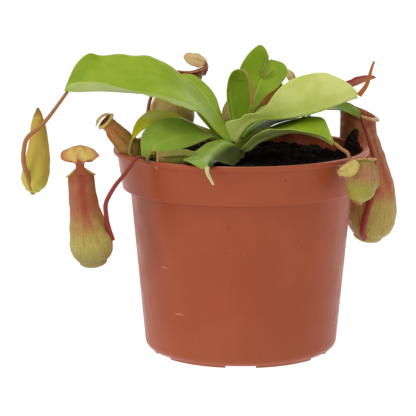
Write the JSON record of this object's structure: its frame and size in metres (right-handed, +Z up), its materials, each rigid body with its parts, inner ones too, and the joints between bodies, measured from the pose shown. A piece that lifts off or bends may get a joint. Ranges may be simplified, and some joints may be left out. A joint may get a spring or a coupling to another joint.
{
  "type": "potted pitcher plant",
  "caption": "Young tropical pitcher plant with broad leaves, tendrils and hanging lidded pitchers, growing in peat in a round tapered plastic nursery pot with a deep collar.",
  "frame": {"origin": "centre of the flat disc in the middle of the pot's underside, on the surface the pot stands on", "axes": "+Z up along the pot's axis, -Y towards the viewer of the plant's front, +X to the viewer's right"},
  "size_m": [0.1776, 0.1243, 0.141],
  "materials": {
    "pot": "glossy terracotta-coloured polypropylene",
    "soil": "damp black peat with coarse fibre",
    "stem": "waxy green stem",
    "leaf": "waxy leaf, satin, fine parallel veins",
    "leaf_pale": "waxy yellow-green leaf, satin",
    "tendril_red": "smooth red-brown tendril",
    "tendril_tan": "smooth tan and green tendril",
    "pitcher_green": "satin yellow-green pitcher with fine speckles",
    "pitcher_red": "satin red-brown pitcher turning green at the foot",
    "lid_red": "satin red and yellow lid",
    "lid_yellow": "dull yellow lid with fine hairs"
  },
  "bodies": {
    "root": {"pot_floor": "pot", "pot_body": "pot", "pot_collar": "pot", "soil": "soil", "stem": "stem", "leaf_back_left": "leaf", "leaf_back_right": "leaf", "leaf_centre_broad": "leaf", "leaf_centre_young": "leaf_pale", "leaf_front_small": "leaf", "leaf_left_back": "leaf", "leaf_left_front": "leaf", "leaf_left_long": "leaf", "leaf_right_front": "leaf", "leaf_right_long": "leaf_pale", "leaf_right_low": "leaf", "lid_back": "lid_red", "lid_back_left": "lid_red", "lid_left_front": "lid_red", "lid_left_rim": "lid_red", "lid_old_lying": "lid_yellow", "lid_right_large": "lid_red", "lid_right_squat": "lid_yellow", "pitcher_back": "pitcher_red", "pitcher_back_left": "pitcher_red", "pitcher_far_left": "pitcher_green", "pitcher_left_front": "pitcher_red", "pitcher_left_rim": "pitcher_red", "pitcher_old_lying": "pitcher_green", "pitcher_right_large": "pitcher_red", "pitcher_right_squat": "pitcher_green", "tendril_back_left": "tendril_tan", "tendril_back_right": "tendril_tan", "tendril_centre_broad": "tendril_tan", "tendril_centre_young": "tendril_tan", "tendril_far_left": "tendril_red", "tendril_front_small": "tendril_tan", "tendril_left_back": "tendril_tan", "tendril_left_front": "tendril_red", "tendril_old": "tendril_tan", "tendril_right_front": "tendril_tan", "tendril_right_long": "tendril_tan", "tendril_right_low": "tendril_red"}
  },
  "joints": []
}
